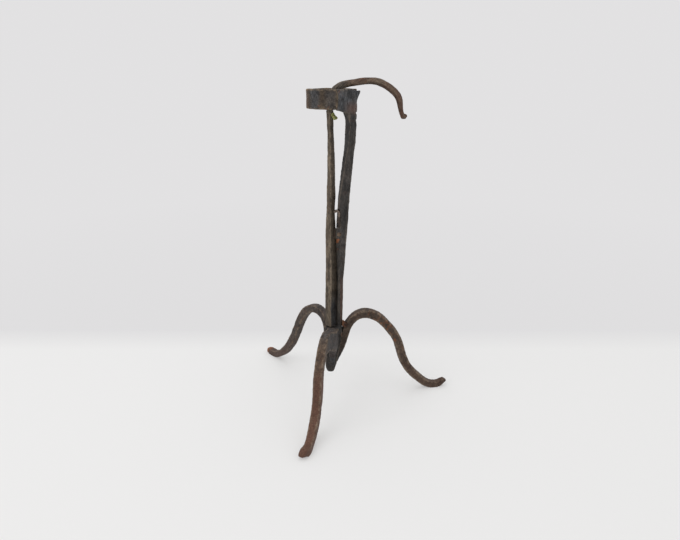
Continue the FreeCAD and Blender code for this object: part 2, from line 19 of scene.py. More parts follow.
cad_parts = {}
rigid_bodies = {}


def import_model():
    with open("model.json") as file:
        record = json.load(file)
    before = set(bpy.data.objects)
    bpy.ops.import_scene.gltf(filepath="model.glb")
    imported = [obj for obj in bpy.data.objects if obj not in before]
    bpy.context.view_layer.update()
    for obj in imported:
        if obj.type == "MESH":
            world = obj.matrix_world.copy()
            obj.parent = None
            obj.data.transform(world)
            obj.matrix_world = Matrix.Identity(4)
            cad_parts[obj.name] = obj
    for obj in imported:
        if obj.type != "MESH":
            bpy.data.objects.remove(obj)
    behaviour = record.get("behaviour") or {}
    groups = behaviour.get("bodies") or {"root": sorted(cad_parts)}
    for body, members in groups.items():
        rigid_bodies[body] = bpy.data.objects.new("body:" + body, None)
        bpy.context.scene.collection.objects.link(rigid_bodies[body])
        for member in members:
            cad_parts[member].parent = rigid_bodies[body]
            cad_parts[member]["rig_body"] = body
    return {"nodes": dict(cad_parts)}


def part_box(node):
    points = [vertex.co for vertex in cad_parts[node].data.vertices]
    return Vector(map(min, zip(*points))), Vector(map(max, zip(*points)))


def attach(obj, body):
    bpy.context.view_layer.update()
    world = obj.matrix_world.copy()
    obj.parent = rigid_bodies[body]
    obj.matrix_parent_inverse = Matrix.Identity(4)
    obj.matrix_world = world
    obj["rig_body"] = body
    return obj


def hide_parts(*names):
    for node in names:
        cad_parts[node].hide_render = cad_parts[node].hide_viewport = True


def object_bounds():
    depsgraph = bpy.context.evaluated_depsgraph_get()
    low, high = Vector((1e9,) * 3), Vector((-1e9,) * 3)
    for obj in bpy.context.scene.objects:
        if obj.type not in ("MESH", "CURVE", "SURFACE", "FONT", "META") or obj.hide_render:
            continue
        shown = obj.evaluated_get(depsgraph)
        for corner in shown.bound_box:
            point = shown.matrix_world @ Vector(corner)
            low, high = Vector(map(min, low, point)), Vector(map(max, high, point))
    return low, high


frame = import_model()
cad_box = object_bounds()
MM = 0.001

# ---------------------------------------------------------------- camera, floor and light

LENS = 29.12
SENSOR_WIDTH = 36.0
CAMERA_PLACE = (-0.01009, -0.3911, 0.2495)
CAMERA_DOWN = 19.6                      # degrees below the horizon

ROOM = (0.762, 0.755, 0.762)
PAPER = (0.785, 0.785, 0.782)
PAPER_GLOW = (0.840, 0.838, 0.826)
PAPER_GLOW_SHARE = 0.4                  # lifts the shadows on the paper
FLOOR_REACH = 6.0
BACK_FADE = (0.082, 0.125)              # behind the stand the paper turns into the room
FAR_FADE = (0.35, 0.9)                  # and so it does all round, further out
GLOW_RISE = (0.15, 0.8, 0.965, 1.0)     # distances between which the room's glow grows, and how bright it is

LIGHT_AIM = (0, 0, 0.12)
LIGHTS = {                              # place, width, power
    "key": ((-1.05, -0.80, 1.15), 1.4, 8.0),
    "fill": ((0.9, -0.7, 0.6), 0.9, 0.8),
    "top": ((-0.1, 0.25, 1.3), 1.2, 3.0),
}


def add_object(name, data):
    thing = bpy.data.objects.new(name, data)
    bpy.context.scene.collection.objects.link(thing)
    return thing


def build_camera():
    camera = add_object("camera", bpy.data.cameras.new("camera"))
    camera.data.lens = LENS
    camera.data.sensor_width = SENSOR_WIDTH
    camera.data.clip_start = 0.01
    camera.data.clip_end = 20
    camera.location = CAMERA_PLACE
    camera.rotation_euler = (math.radians(90 - CAMERA_DOWN), 0, 0)
    bpy.context.scene.camera = camera


def build_floor():
    """Pale paper: it takes soft shadows near the stand and fades into the room's own colour further back."""
    mesh = bpy.data.meshes.new("floor")
    signs = ((-1, -1), (1, -1), (1, 1), (-1, 1))
    mesh.from_pydata([(x * FLOOR_REACH, y * FLOOR_REACH, 0) for x, y in signs], [], [(0, 1, 2, 3)])
    floor = add_object("floor", mesh)
    web = Web("floor_paper")
    web.shader.inputs["Roughness"].default_value = 0.9
    web.shader.inputs["Specular IOR Level"].default_value = 0.1
    web.shader.inputs["Base Color"].default_value = (*PAPER, 1)
    split = web.add("ShaderNodeSeparateXYZ")
    web.join(web.place, split.inputs[0])
    back = web.spread(split.outputs["Y"], *BACK_FADE)
    length = web.add("ShaderNodeVectorMath")
    length.operation = "LENGTH"
    web.join(web.place, length.inputs[0])
    distance = length.outputs["Value"]
    fade_out = web.arithmetic("MAXIMUM", back, web.spread(distance, *FAR_FADE))
    room = web.glow(ROOM)
    web.join(web.spread(distance, *GLOW_RISE), room.inputs["Strength"])
    paper = web.mix_shaders(PAPER_GLOW_SHARE, web.shader, web.glow(PAPER_GLOW))
    surface = web.mix_shaders(fade_out, paper, room)
    web.join(surface.outputs[0], web.nodes["Material Output"].inputs["Surface"])
    mesh.materials.append(web.material)


def build_light():
    """A pale room, a big soft key from the upper left, a weak fill from the right and light from above."""
    world = bpy.data.worlds.new("room")
    world.use_nodes = True
    background = world.node_tree.nodes["Background"]
    background.inputs["Color"].default_value = (*ROOM, 1)
    background.inputs["Strength"].default_value = 1.0
    bpy.context.scene.world = world
    bpy.context.scene.view_settings.view_transform = "Standard"
    for name, (place, width, power) in LIGHTS.items():
        light = add_object(name, bpy.data.lights.new(name, "AREA"))
        light.data.size = width
        light.data.energy = power
        light.location = place
        light.rotation_euler = (Vector(LIGHT_AIM) - Vector(place)).to_track_quat("-Z", "Y").to_euler()


# ---------------------------------------------------------------- materials

class Web:
    """A material's nodes, with short ways to add those that are used here."""

    def __init__(self, name):
        self.material = bpy.data.materials.new(name)
        self.material.use_nodes = True
        self.nodes = self.material.node_tree.nodes
        self.shader = self.nodes["Principled BSDF"]
        self.place = self.add("ShaderNodeTexCoord").outputs["Object"]

    def add(self, kind):
        return self.nodes.new(kind)

    def join(self, output, socket):
        self.material.node_tree.links.new(output, socket)

    def feed(self, value, socket):
        """Puts a number or a colour on a socket, or links an output to it."""
        if isinstance(value, (int, float)):
            socket.default_value = value
        elif isinstance(value, tuple):
            socket.default_value = (*value, 1)
        else:
            self.join(value, socket)

    def ramp(self, value, stops):
        """A colour ramp; stops are (position, colour)."""
        node = self.add("ShaderNodeValToRGB")
        elements = node.color_ramp.elements
        while len(elements) < len(stops):
            elements.new(0.5)
        for element, (position, colour) in zip(elements, stops):
            element.position = position
            element.color = (*colour, 1)
        self.join(value, node.inputs["Fac"])
        return node.outputs["Color"]

    def noise(self, place, scale, detail, roughness, distortion=0.0):
        node = self.add("ShaderNodeTexNoise")
        settings = {"Scale": scale, "Detail": detail, "Roughness": roughness, "Distortion": distortion}
        for socket, number in settings.items():
            node.inputs[socket].default_value = number
        self.join(place, node.inputs["Vector"])
        return node.outputs["Fac"]

    def spread(self, value, low, high, to_low=0.0, to_high=1.0):
        """Maps a value from low..high to to_low..to_high, clamped."""
        node = self.add("ShaderNodeMapRange")
        for socket, number in zip(("From Min", "From Max", "To Min", "To Max"), (low, high, to_low, to_high)):
            node.inputs[socket].default_value = number
        self.join(value, node.inputs["Value"])
        return node.outputs["Result"]

    def arithmetic(self, operation, *values, clamp=True):
        node = self.add("ShaderNodeMath")
        node.operation = operation
        node.use_clamp = clamp
        for socket, value in zip(node.inputs, values):
            self.feed(value, socket)
        return node.outputs[0]

    def mix_values(self, factor, first, second):
        node = self.add("ShaderNodeMix")
        for socket, value in (("Factor", factor), ("A", first), ("B", second)):
            self.feed(value, node.inputs[socket])
        return node.outputs["Result"]

    def mix_colours(self, factor, first, second, blend="MIX"):
        node = self.add("ShaderNodeMix")
        node.data_type = "RGBA"
        node.blend_type = blend
        for socket, value in (("Factor", factor), ("A", first), ("B", second)):
            self.feed(value, node.inputs[socket])
        return node.outputs["Result"]

    def mix_shaders(self, factor, first, second):
        node = self.add("ShaderNodeMixShader")
        self.feed(factor, node.inputs["Fac"])
        self.join(first.outputs[0], node.inputs[1])
        self.join(second.outputs[0], node.inputs[2])
        return node

    def glow(self, colour):
        node = self.add("ShaderNodeEmission")
        node.inputs["Color"].default_value = (*colour, 1)
        return node

    def mark(self, name, output="Fac"):
        """One of the values that shape_iron stores on the points."""
        node = self.add("ShaderNodeAttribute")
        node.attribute_name = name
        return node.outputs[output]

    def bump(self, height, strength, distance):
        """Unevenness too fine for the mesh; the distance is in millimetres."""
        node = self.add("ShaderNodeBump")
        node.inputs["Strength"].default_value = strength
        node.inputs["Distance"].default_value = distance * MM
        self.join(height, node.inputs["Height"])
        self.join(node.outputs["Normal"], self.shader.inputs["Normal"])


RUST = (0.25, 0.085, 0.030)
DEEP_RUST = (0.070, 0.026, 0.013)
COOL_DARK = (0.022, 0.023, 0.025)
COOL_LIGHT = (0.088, 0.090, 0.095)
RED = (0.125, 0.058, 0.038)

IRONS = {
    "post_iron": {
        "dark": (0.016, 0.014, 0.012), "middle": (0.040, 0.034, 0.028), "light": (0.085, 0.070, 0.056),
        "worn": (0.12, 0.098, 0.078), "rust_share": 0.35},
    "strap_iron": {
        "dark": (0.024, 0.017, 0.012), "middle": (0.060, 0.043, 0.029), "light": (0.120, 0.088, 0.056),
        "worn": (0.21, 0.155, 0.10), "rust_share": 0.35},
    "lever_iron": {
        "dark": (0.034, 0.026, 0.018), "middle": (0.085, 0.067, 0.048), "light": (0.165, 0.130, 0.092),
        "worn": (0.21, 0.165, 0.12), "rust_share": 0.35},
    "leg_iron": {
        "dark": (0.026, 0.018, 0.013), "middle": (0.072, 0.050, 0.034), "light": (0.150, 0.105, 0.070),
        "worn": (0.21, 0.155, 0.11), "rust_share": 0.6},
    # light beige: a painted highlight along the spring's thin curved strip
    "spring_iron": {
        "dark": (0.05, 0.037, 0.03), "middle": (0.13, 0.10, 0.08), "light": (0.25, 0.19, 0.15),
        "worn": (0.34, 0.27, 0.22), "rust_share": 0.2},
    # light grey-beige: the rivet heads' rubbed wear, and a painted highlight on their domes
    "highlit_worn_head_iron": {
        "dark": (0.07, 0.045, 0.03), "middle": (0.16, 0.11, 0.075), "light": (0.28, 0.21, 0.145),
        "worn": (0.32, 0.25, 0.18), "rust_share": 0.4},
    "rusty_iron": {
        "dark": (0.030, 0.013, 0.007), "middle": (0.11, 0.040, 0.017), "light": (0.27, 0.110, 0.045),
        "worn": (0.28, 0.15, 0.08), "rust_share": 0.6},
}


def iron(name, dark, middle, light, worn, rust_share):
    """Forged iron: brown and blue-grey patina in patches, rust in the hollows, rubbed edges and pits, and the
    painted light and shade that the tone mark brings.
    """
    web = Web(name)
    drawn = web.mark("drawn", "Vector")
    patches = web.noise(web.place, scale=60, detail=5, roughness=0.62, distortion=0.4)
    mottle = web.noise(drawn, scale=360, detail=6, roughness=0.68, distortion=0.3)
    grain = web.noise(drawn, scale=1500, detail=5, roughness=0.7)
    clouds = web.noise(web.place, scale=130, detail=5, roughness=0.65, distortion=0.6)

    blend = web.mix_values(0.6, patches, mottle)
    colour = web.ramp(blend, [(0.38, dark), (0.50, middle), (0.62, light)])

    patchy = web.spread(clouds, 0.33, 0.50, 0.4, 1.0)
    high_mottle = web.spread(mottle, 0.40, 0.62)
    cool_tint = web.mix_colours(high_mottle, COOL_DARK, COOL_LIGHT)
    for tinge, tint in (("cool", cool_tint), ("red", RED)):
        mask = web.arithmetic("MULTIPLY", web.mark(tinge), patchy)
        colour = web.mix_colours(mask, colour, tint)

    rust_noise = web.noise(web.place, scale=260, detail=6, roughness=0.7, distortion=0.6)
    rusty = web.arithmetic("MULTIPLY", web.spread(rust_noise, 0.54, 0.68), rust_share)
    bare = web.arithmetic("SUBTRACT", 1.0, web.mark("cool"))
    rusty = web.arithmetic("MULTIPLY", rusty, bare)
    hollow = web.arithmetic("MULTIPLY", web.spread(web.mark("hollow"), 0.15, 0.7), 0.3)
    colour = web.mix_colours(web.arithmetic("ADD", rusty, hollow), colour, DEEP_RUST)

    rubbed = web.arithmetic("MULTIPLY", web.mark("edge"), high_mottle)
    colour = web.mix_colours(rubbed, colour, worn)

    reach = web.arithmetic("ADD", web.arithmetic("MULTIPLY", web.mark("rust"), 0.26), rust_noise)
    bloom = web.arithmetic("MULTIPLY", web.mark("rust"), 3.0)
    bloom = web.arithmetic("MULTIPLY", bloom, web.spread(reach, 0.60, 0.72))
    colour = web.mix_colours(bloom, colour, RUST)

    speck = web.spread(grain, 0.38, 0.64, 0.60, 1.35)
    # tone: the iron's own lighter and darker patches, and the painted light and shade that the paint
    # functions set
    tone = web.spread(web.mark("tone"), 0.0, 1.0, 0.1, 1.9)
    level = web.arithmetic("MULTIPLY", speck, tone, clamp=False)
    grey = web.add("ShaderNodeCombineColor")
    for channel in ("Red", "Green", "Blue"):
        web.join(level, grey.inputs[channel])
    colour = web.mix_colours(1.0, colour, grey.outputs["Color"], "MULTIPLY")
    web.join(colour, web.shader.inputs["Base Color"])

    web.shader.inputs["Metallic"].default_value = 0.15
    web.shader.inputs["Specular IOR Level"].default_value = 0.28
    web.join(web.spread(mottle, 0.3, 0.7, 0.50, 0.78), web.shader.inputs["Roughness"])

    pits = web.add("ShaderNodeTexVoronoi")
    pits.inputs["Scale"].default_value = 800
    web.join(drawn, pits.inputs["Vector"])
    pit_depth = web.arithmetic("MULTIPLY", web.spread(pits.outputs["Distance"], 0.0, 0.45), 0.5)
    rough = web.arithmetic("ADD", pit_depth, grain, clamp=False)
    web.bump(web.arithmetic("MULTIPLY_ADD", mottle, 1.8, rough, clamp=False), strength=0.7, distance=0.28)
    return web.material


def old_tallow():
    """Yellow-green and cloudy, darkened by dirt, with a dull shine."""
    web = Web("tallow")
    clouds = web.noise(web.place, scale=500, detail=4, roughness=0.6)
    tones = [(0.36, (0.06, 0.064, 0.018)), (0.48, (0.20, 0.21, 0.05)), (0.62, (0.38, 0.38, 0.14))]
    web.join(web.ramp(clouds, tones), web.shader.inputs["Base Color"])
    web.shader.inputs["Roughness"].default_value = 0.5
    web.shader.inputs["Subsurface Weight"].default_value = 0.25
    web.shader.inputs["Subsurface Scale"].default_value = 0.6 * MM
    web.bump(web.noise(web.place, scale=1800, detail=3, roughness=0.5), strength=0.4, distance=0.15)
    return web.material


# ---------------------------------------------------------------- points of a mesh

def points(mesh):
    flat = np.empty(len(mesh.vertices) * 3)
    mesh.vertices.foreach_get("co", flat)
    return flat.reshape(-1, 3)


def normals(mesh):
    flat = np.empty(len(mesh.vertices) * 3)
    mesh.vertices.foreach_get("normal", flat)
    return flat.reshape(-1, 3)


def put_points(mesh, places):
    mesh.vertices.foreach_set("co", np.asarray(places, float).ravel())
    mesh.update()


def edge_ends(mesh):
    ends = np.empty(len(mesh.edges) * 2, int)
    mesh.edges.foreach_get("vertices", ends)
    return ends.reshape(-1, 2)


def neighbour_mean(values, ends):
    """The mean of each point's neighbours."""
    total = np.zeros_like(values)
    number = np.zeros(len(values))
    for here, there in ((0, 1), (1, 0)):
        np.add.at(total, ends[:, here], values[ends[:, there]])
        np.add.at(number, ends[:, here], 1)
    return total / np.maximum(number, 1)[:, None]


def step(value, low, high):
    """Rises smoothly from 0 at low to 1 at high."""
    share = np.clip((value - low) / (high - low), 0, 1)
    return share * share * (3 - 2 * share)


def fade(value, low, high):
    """Falls smoothly from 1 at low to 0 at high."""
    return 1 - step(value, low, high)


def hump(value, low, high, fall, end):
    """Rises from low to high, stays at 1, and falls back to 0 from fall to end."""
    return step(value, low, high) * fade(value, fall, end)


# ---------------------------------------------------------------- shaping iron

def rebuild(name, node, cell, rounds):
    """A copy of a CAD solid's mesh in even cells, with its corners rounded by that many smoothing passes."""
    piece = add_object(name, frame["nodes"][node].data.copy())
    piece.data.materials.clear()
    remesh = piece.modifiers.new("cells", "REMESH")
    remesh.mode = "VOXEL"
    remesh.voxel_size = cell * MM
    smooth = piece.modifiers.new("round", "SMOOTH")
    smooth.factor = 0.5
    smooth.iterations = rounds
    evaluated = piece.evaluated_get(bpy.context.evaluated_depsgraph_get())
    mesh = bpy.data.meshes.new_from_object(evaluated)
    piece.modifiers.clear()
    old = piece.data
    piece.data = mesh
    bpy.data.meshes.remove(old)
    return piece


def bulge(mesh, passes=6):
    """How far each point stands out of its surroundings (above 0 on edges, below 0 in hollows), in metres."""
    places, ends = points(mesh), edge_ends(mesh)
    mean = places
    for _ in range(passes):
        mean = neighbour_mean(mean, ends)
    return np.einsum("ij,ij->i", places - mean, normals(mesh))


def round_off(mesh, share, passes=40):
    """Draws points towards their neighbours' mean, as far as share says."""
    places, ends = points(mesh), edge_ends(mesh)
    for _ in range(passes):
        places = places + (neighbour_mean(places, ends) - places) * share[:, None]
    put_points(mesh, places)


SLOW, FACES, FINE = (75, 0.24), (150, 0.28), (420, 0.08)     # how many per metre, and how high in millimetres
FACE_CREST, FACE_MIDDLE = 0.8, 0.45
FLAKES, FLAKE_CREST, FLAKE_HEIGHT = 700, 0.25, 0.10


def hammered(places, seed):
    """The hammer's dents over slow and fine unevenness, as a height at each point, in metres."""
    shift = Vector((seed * 3.7, seed * 1.3, seed * 7.1))
    heights = np.empty(len(places))
    for index, place in enumerate(places):
        spot = Vector(place)
        slow = noise.noise(spot * SLOW[0] + shift)
        face = min(noise.voronoi(spot * FACES[0] + shift)[0][0], FACE_CREST) - FACE_MIDDLE
        fine = noise.noise(spot * FINE[0] + shift)
        heights[index] = SLOW[1] * slow + FACES[1] * face + FINE[1] * fine
    return heights * MM


def pitted(places, seed):
    """Small pits and flakes of scale, as a height at each point, in metres."""
    shift = Vector((seed * 5.9, seed * 2.3, seed * 4.7))
    heights = np.empty(len(places))
    for index, place in enumerate(places):
        flake = noise.fractal(Vector(place) * FLAKES + shift, 0.6, 2.1, 3)
        heights[index] = min(flake, FLAKE_CREST)
    return heights * FLAKE_HEIGHT * MM


def store(mesh, name, values):
    layer = mesh.attributes.new(name, "FLOAT", "POINT")
    layer.data.foreach_set("value", np.clip(values, 0, 1).astype(np.float32))


def keep_inside(mesh):
    """No point leaves the box that the CAD solids fill, and none goes under the floor."""
    low, high = (np.array(corner) for corner in cad_box)
    put_points(mesh, np.clip(points(mesh), (low[0], low[1], 0.0), high))


PLAIN = {"cool": 0.0, "red": 0.0, "rust": 0.0, "tone": 0.5}
SHARP = 0.10 * MM                       # how far a sharp edge stands out of its surroundings


def shape_iron(name, node, material, seed, cell=0.42, rounds=5, dent=1.0, grow=0.14,
               reshape=None, soften=None, paint=None, grain=None):
    """Turns a CAD solid into its forged piece: new mesh, own shape, dents, pits, and the marks on its points.

    cell is the size of the new mesh's cells and grow makes good what the rounding takes off, in millimetres.
    reshape takes points and their outward directions and gives new points. soften takes points and says where
    the hammer has rounded them further. paint takes points and their outward directions and gives any of the
    marks cool, red, rust and tone, from 0 to 1 (0.5 is a tone that changes nothing); tone carries painted
    light and shade as well as the iron's own lighter and darker patches. grain gives the coordinates that the
    iron's streaks follow.
    """
    piece = rebuild(name, node, cell, rounds)
    mesh = piece.data
    put_points(mesh, points(mesh) + normals(mesh) * grow * MM)
    if reshape:
        put_points(mesh, reshape(points(mesh), normals(mesh)))
    softened = 0.0
    if soften:
        softened = soften(points(mesh))
        round_off(mesh, softened)
    places, out = points(mesh), normals(mesh)
    height = hammered(places, seed) * dent + pitted(places, seed)
    put_points(mesh, places + out * height[:, None])
    keep_inside(mesh)
    places, out = points(mesh), normals(mesh)
    stands_out = bulge(mesh) / SHARP
    marks = dict(PLAIN)
    marks["edge"] = (0.7 * stands_out - 0.25) * (1 - softened)
    marks["hollow"] = -stands_out * (1 - softened)
    if paint:
        marks.update(paint(places, out))
    for mark_name, values in marks.items():
        store(mesh, mark_name, np.broadcast_to(values, len(places)))
    layer = mesh.attributes.new("drawn", "FLOAT_VECTOR", "POINT")
    layer.data.foreach_set("vector", (grain(places) if grain else places).astype(np.float32).ravel())
    mesh.polygons.foreach_set("use_smooth", np.ones(len(mesh.polygons), bool))
    mesh.materials.append(material)
    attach(piece, frame["nodes"][node]["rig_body"])
    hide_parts(node)


# ---------------------------------------------------------------- where things stand

def box_mm(node):
    return (np.array(corner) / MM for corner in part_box(node))


STRAP_LOW, STRAP_HIGH = box_mm("collar_strap")
RIVET_LOW, RIVET_HIGH = box_mm("pivot_rivet")
PIVOT_FROM_STEM = 4.4                   # the pivot stands to the right of the stem's axis
STEM = (RIVET_LOW + RIVET_HIGH)[:2] / 2 - (PIVOT_FROM_STEM, 0)
COLLAR_FROM_END = 17.4                  # the collar's axis, from the strap's left end
COLLAR = np.array((STRAP_LOW[0] + COLLAR_FROM_END, (STRAP_LOW[1] + STRAP_HIGH[1]) / 2))
WALL = 13.5                             # beyond this distance from the collar's axis lies the plate


def from_stem(places):
    """Places in millimetres from the stem's axis and the floor."""
    return places / MM - (*STEM, 0.0)


def near(places, spot, radius):
    """1 at a spot, given like from_stem gives places, falling smoothly to 0 at the radius."""
    return fade(np.linalg.norm(from_stem(places) - spot, axis=1), 0, radius)


def round_collar(places):
    """The distance from the collar's axis, and the angle in degrees: 0 on the right, -90 in front."""
    flat = places[:, :2] / MM - COLLAR
    return np.hypot(flat[:, 0], flat[:, 1]), np.degrees(np.arctan2(flat[:, 1], flat[:, 0]))


def leg_axes(node):
    """The leg's direction, the one across it, and how far out it reaches from the stem's axis."""
    flat = from_stem(points(frame["nodes"][node].data))[:, :2]
    distance = np.hypot(flat[:, 0], flat[:, 1])
    far = flat[distance > distance.max() - 4].mean(axis=0)
    along = far / np.linalg.norm(far)
    return along, np.array((-along[1], along[0])), distance.max()


# ---------------------------------------------------------------- shapes

TOE, TOE_END = 9, 3                     # how far a foot's toe and the end of it go back from its tip
SLIM_STATIONS = (0.15, 0.35, 0.65, 0.88)     # shares of the reach: root, both ends of the bow, foot


def leg_shaper(node, slim=0.0, toe_slim=0.0, toe_narrow=0.0, toe_bend=0.0, toe_rise=0.0, toe_long=0.0,
               toe_turn=0.0, toe_up=0.0, root=None):
    """Gives a leg its own thickness and a blunt toe of its own.

    slim thins the leg in its bow and toe_slim at its foot (below 0 they thicken it). toe_narrow is the share
    that the toe loses in width, toe_bend takes it across the leg and toe_rise lifts it. toe_long makes good
    the length that the rounding takes off the toe; toe_turn and toe_up slant its end face.
    """
    along, across, reach = leg_axes(node)

    def reshape(places, out):
        place = from_stem(places)
        flat, height = place[:, :2], place[:, 2]
        amount = np.interp(flat @ along / reach, SLIM_STATIONS, (0, slim, slim, toe_slim))
        height = height - out[:, 2] * amount - amount * step(flat @ along, 0.55 * reach, 0.85 * reach)
        flat = flat - out[:, :2] * amount[:, None]
        distance, side = flat @ along, flat @ across
        toe = np.clip((distance - (reach - TOE)) / TOE, 0, 1) ** 2
        tip = height[distance > reach - TOE_END].mean()
        slant = toe_turn * side + toe_up * (height - tip)
        height = height + toe_rise * toe
        side = side * (1 - toe_narrow * toe) + toe_bend * toe
        distance = distance + (toe_long + slant) * toe
        if root:
            distance, side, height = root(distance, side, height)
        flat = distance[:, None] * along + side[:, None] * across + STEM
        return np.column_stack((flat, height)) * MM

    return reshape


def soft_toe(node, root_low=None):
    """The toe is rounded all over, and so is the root, below and a little above the height root_low."""
    along, _, reach = leg_axes(node)

    def soften(places):
        place = from_stem(places)
        distance, height = place[:, :2] @ along, place[:, 2]
        share = step(distance, reach - 5, reach - 2)
        if root_low:
            share = np.maximum(share, fade(height, root_low, root_low + 14) * fade(distance, 10, 14))
        return share

    return soften


def wide_root(distance, side, height):
    """The front leg is spread to the right over the foot block, and narrows again towards the tongue."""
    root = fade(distance, 12, 24)
    right = step(height, 33, 50) * root * (side > 0)
    left = step(height, 42, 54) * root * (side < 0)
    tip = fade(height, 38, 50) * fade(distance, 9, 14)
    side = side * (1 + 0.75 * right + 0.25 * left) * (1 - 0.25 * tip)
    ledge = step(height, 56, 61) * fade(distance, 8, 15)
    return distance - 1.6 * tip, side, height + 0.8 * ledge


def tapering_root(distance, side, height):
    """The right leg runs out into the tongue of the post."""
    share = fade(height, 30, 45) * fade(distance, 8, 14)
    return distance - 0.8 * share, side * (1 - 0.35 * share), height


SEAM_ANGLE, SEAM_WIDTH, SEAM_BOW = -78, 30, 0.8     # degrees round the collar, and millimetres


def bow_seam(places, out):
    """The strap's front end laps the plate in a slightly bowed line."""
    _, angle = round_collar(places)
    z = places[:, 2] / MM
    centre, half = (STRAP_LOW[2] + STRAP_HIGH[2]) / 2, (STRAP_HIGH[2] - STRAP_LOW[2]) / 2
    bow = np.clip(1 - ((z - centre) / half) ** 2, 0, 1)
    share = np.clip(1 - np.abs(angle - SEAM_ANGLE) / SEAM_WIDTH, 0, 1) * (z > STRAP_LOW[2] - 3)
    moved = places.copy()
    moved[:, 0] += SEAM_BOW * MM * bow * share
    return moved


RIGHT_FACE = (                          # how far the post's right face stands out, and over which heights
    (0.4, (130, 150, 185, 200)),
    (-0.2, (204, 212, 219, 223)),
    (0.8, (219, 223, 227, 232)),
)


def shape_post(places, out):
    """The bowed seam, a neck that runs flush into the plate, and a left face kept close to the lever."""
    moved = bow_seam(places, out) / MM
    x, _, z = from_stem(places).T
    distance, angle = round_collar(places)
    groove = hump(z, 63, 66, 131, 134) * step(-out[:, 0], 0.5, 0.9)
    right = sum(amount * hump(z, *heights) for amount, heights in RIGHT_FACE) * step(out[:, 0], 0.0, 0.6)
    fillet = hump(z, 220, 225, 226, 230) * step(x, 6, 9) * step(-out[:, 0], 0.0, 0.6)
    back = hump(z, 224, 225.6, 226, 234) * step(angle, -30, -8)
    low_edge = hump(z, 224, 225.6, 226.5, 231) * (distance > WALL)
    moved[:, 0] += right - 0.15 * groove - 1.0 * fillet - 0.4 * back
    moved[:, 2] += low_edge * (0.9 - 2.2 * step(x, 3, 11))
    return moved * MM


def soften_post(places):
    """Rounded at the tongue's tip, along the ledge at the right of the tail, and at the plate's ear."""
    x, _, z = from_stem(places).T
    tip = fade(z, 25, 31)
    ledge = hump(z, 57, 60, 64, 67) * step(x, 0.5, 3)
    ear = step(x, 12.5, 15) * step(z, 224, 226) * (1 - 0.7 * step(x, 17, 18.5))
    return np.maximum.reduce([tip, ledge, 0.8 * ear])


def shape_lever(places, out):
    """The arm is thick at its root and thin above the knob; the bar keeps its sharp edge along the groove."""
    x, _, z = from_stem(places).T
    arm_root = step(z, 238, 241.5) * fade(x, 3, 16)
    arm_middle = step(x, 26, 33) * step(z, 231, 237)
    knob = step(x, 47.5, 49)
    above_knob = step(x, 40, 44) * hump(z, 219.5, 222.5, 224, 233) * fade(x, 47.5, 49)
    grow = 0.40 * arm_root + 0.25 * arm_middle - 0.95 * above_knob - 0.25 * knob
    moved = places / MM + out * grow[:, None]
    groove = step(out[:, 0], 0.75, 0.95) * fade(z, 131, 136) * (x < 3)
    broad = step(out[:, 0], 0.5, 0.9) * hump(z, 152, 168, 200, 214) * (x < 5)
    moved[:, 0] += 0.40 * groove + 0.50 * broad
    return moved * MM


def lean_tip(places, out):
    """The front corner of the spring's curled end reaches a little over the lever's edge."""
    x, y, z = from_stem(places).T
    share = step(z, 154, 156) * fade(x, 0.8, 3) * step(-y, 1.2, 4.0)
    moved = places.copy()
    moved[:, 0] -= 0.7 * MM * share
    moved[:, 2] -= 0.5 * MM * share
    return moved


def curl_drip(places, out):
    """The drip is thin above, bends to and fro, and ends in a thicker tip that points to the right."""
    low, high = box_mm("tallow_drip")
    moved = places / MM
    share = (moved[:, 2] - low[2]) / (high[2] - low[2])
    centre = (low[0] + high[0]) / 2
    moved[:, 0] = centre + (moved[:, 0] - centre) * (1.35 - 0.55 * share)
    moved[:, 0] += 0.5 * np.sin(share * 2 * math.pi) + 0.8 * fade(share, 0.1, 0.6)
    moved[:, 2] += 0.5 * (1 - share)
    return moved * MM


def lumpy_head(places, out):
    """Rust has swollen the leg rivet's head into lumps that fill the crotch between leg and post."""
    low, _ = box_mm("leg_rivet")
    place = places / MM
    head = step(low[1] + 3 - place[:, 1], 0, 2)
    centre = place[head > 0.5].mean(axis=0)
    lumps = np.sin(place[:, 0] * 2.3) * np.sin(place[:, 2] * 1.7 + 1.0) * np.sin(place[:, 1] * 1.9)
    moved = place.copy()
    moved[:, 0] = centre[0] + (place[:, 0] - centre[0]) * (1 - 0.64 * head) - 1.5 * head
    moved[:, 2] = centre[2] + (place[:, 2] - centre[2]) * (1 + 0.05 * head) + 2.0 * head
    return (moved + out * (0.35 * head * lumps)[:, None]) * MM


# ---------------------------------------------------------------- streaks of the drawn iron

STREAK = 0.3                            # streaks are longer than wide, by the inverse of this
BOW_X, BOW_Z, BOW_RADIUS = 25, 222, 22  # the bow of the hook arm


def along_bar(places):
    return places * (1.0, 1.0, STREAK)


def along_lever(places):
    """Streaks run up the bar, and round the bow of the hook arm."""
    x, _, z = from_stem(places).T
    side, rise = x - BOW_X, z - BOW_Z
    run = np.arctan2(side, rise) * BOW_RADIUS * STREAK
    bow = np.column_stack((np.hypot(side, rise) * MM, places[:, 1], run * MM))
    on_arm = (z > 236) | (x > 6)
    return np.where(on_arm[:, None], bow, along_bar(places))


# ---------------------------------------------------------------- patina

POST_RUST = (                           # share, spot and radius
    (0.8, (2.6, -3.4, 133.5), 3.6),     # below the pivot's head
    (0.35, (2.8, -3.2, 126), 4),        # and a little further down
    (0.14, (4, -14, 240), 9),           # at the plate's rim, beside the strap
    (0.25, (7.0, -4.0, 57), 4.0),       # in the crotch of the right leg
)


